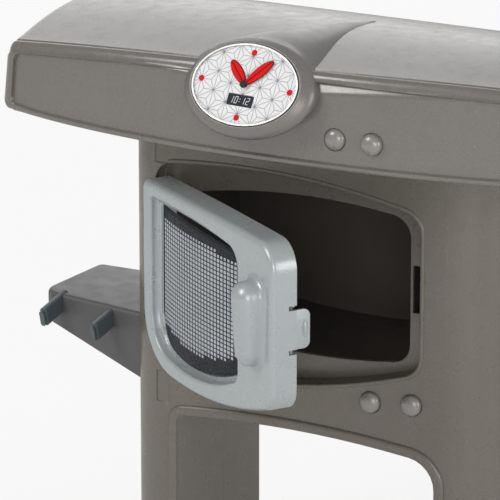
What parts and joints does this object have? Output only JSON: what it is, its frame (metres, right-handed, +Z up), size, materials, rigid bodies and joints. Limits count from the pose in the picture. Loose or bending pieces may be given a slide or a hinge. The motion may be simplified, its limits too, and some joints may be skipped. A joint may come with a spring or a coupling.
{
  "type": "toy oven",
  "caption": "Moulded toy oven column with a side-hung windowed door, deep cavity, open shelf space, wide bowed hood with an oval clock, domed push buttons and a peg arm.",
  "frame": {"origin": "middle of the stance, between the two feet, on the floor plane and below the centre of the column", "axes": "+X to the right seen from the front, +Y towards the back, +Z up; the column front faces -Y"},
  "size_m": [0.4655, 0.256, 0.4473],
  "materials": {
    "column_grey": "moulded plastic, satin with a fine metallic fleck",
    "hood_grey": "moulded plastic, satin with a fine metallic fleck",
    "cavity_dark": "moulded plastic, matt",
    "foot_dark": "moulded plastic, matt",
    "pod_grey": "moulded plastic, soft gloss",
    "dial_white": "white with a light grey star lattice",
    "bezel_bright": "bright rim",
    "clock_red": "red, thin dark outline",
    "display_dark": "dark grey, plain digits",
    "button_silver": "silver grey, glossy dome",
    "door_silver": "silver grey, satin gloss",
    "window_clear": "clear moulded plastic",
    "screen_mesh": "dark film with a light grid of squares",
    "arm_grey": "moulded plastic, satin",
    "peg_slate": "moulded plastic, satin",
    "steel": "plated steel"
  },
  "bodies": {
    "housing": {"column_front": "column_grey", "column_rear": "column_grey", "cavity_liner": "cavity_dark", "latch_catch": "peg_slate", "left_foot": "foot_dark", "right_foot": "foot_dark", "hood_shell": "hood_grey", "hood_base": "column_grey", "clock_pod": "pod_grey", "clock_dial": "dial_white", "clock_bezel": "bezel_bright", "dial_markers": "clock_red", "clock_display": "display_dark", "hand_pin": "display_dark", "button_cups": "foot_dark", "button_springs": "steel", "hinge_pin": "steel", "side_arm": "arm_grey", "arm_hooks": "peg_slate", "shell_screws": "steel", "hood_screws": "steel", "arm_screws": "steel"},
    "door": {"door_shell": "door_silver", "window_pane": "window_clear", "window_screen": "screen_mesh", "door_liner": "door_silver", "door_screws": "steel"},
    "hood_button_left": {"button_hood_left": "button_silver"},
    "hood_button_right": {"button_hood_right": "button_silver"},
    "panel_button_left": {"button_panel_left": "button_silver"},
    "panel_button_right": {"button_panel_right": "button_silver"},
    "hour": {"hour_hand": "clock_red"},
    "minute": {"minute_hand": "clock_red"}
  },
  "joints": [
    {"name": "door_hinge", "type": "hinge", "parent": "housing", "child": "door", "pos_m": [-0.127, -0.054, 0.26], "axis": [0, 0, -1], "range_deg": [-34.8, 40]},
    {"name": "hood_left_press", "type": "slide", "parent": "housing", "child": "hood_button_left", "axis": [0, 1, 0], "range_m": [0, 0.0025], "stiffness_N_per_m": 300, "springref_m": -0.002, "deforming": ["button_springs"]},
    {"name": "hood_right_press", "type": "slide", "parent": "housing", "child": "hood_button_right", "axis": [0, 1, 0], "range_m": [0, 0.0025], "stiffness_N_per_m": 300, "springref_m": -0.002, "deforming": ["button_springs"]},
    {"name": "panel_left_press", "type": "slide", "parent": "housing", "child": "panel_button_left", "axis": [0, 1, 0], "range_m": [0, 0.0025], "stiffness_N_per_m": 300, "springref_m": -0.002, "deforming": ["button_springs"]},
    {"name": "panel_right_press", "type": "slide", "parent": "housing", "child": "panel_button_right", "axis": [0, 1, 0], "range_m": [0, 0.0025], "stiffness_N_per_m": 300, "springref_m": -0.002, "deforming": ["button_springs"]},
    {"name": "hour_turn", "type": "hinge", "parent": "housing", "child": "hour", "pos_m": [-0.0208, -0.117, 0.4194], "axis": [-0.0875, -0.8616, 0.5], "continuous": true},
    {"name": "minute_turn", "type": "hinge", "parent": "housing", "child": "minute", "pos_m": [-0.0208, -0.117, 0.4194], "axis": [-0.0875, -0.8616, 0.5], "continuous": true}
  ]
}
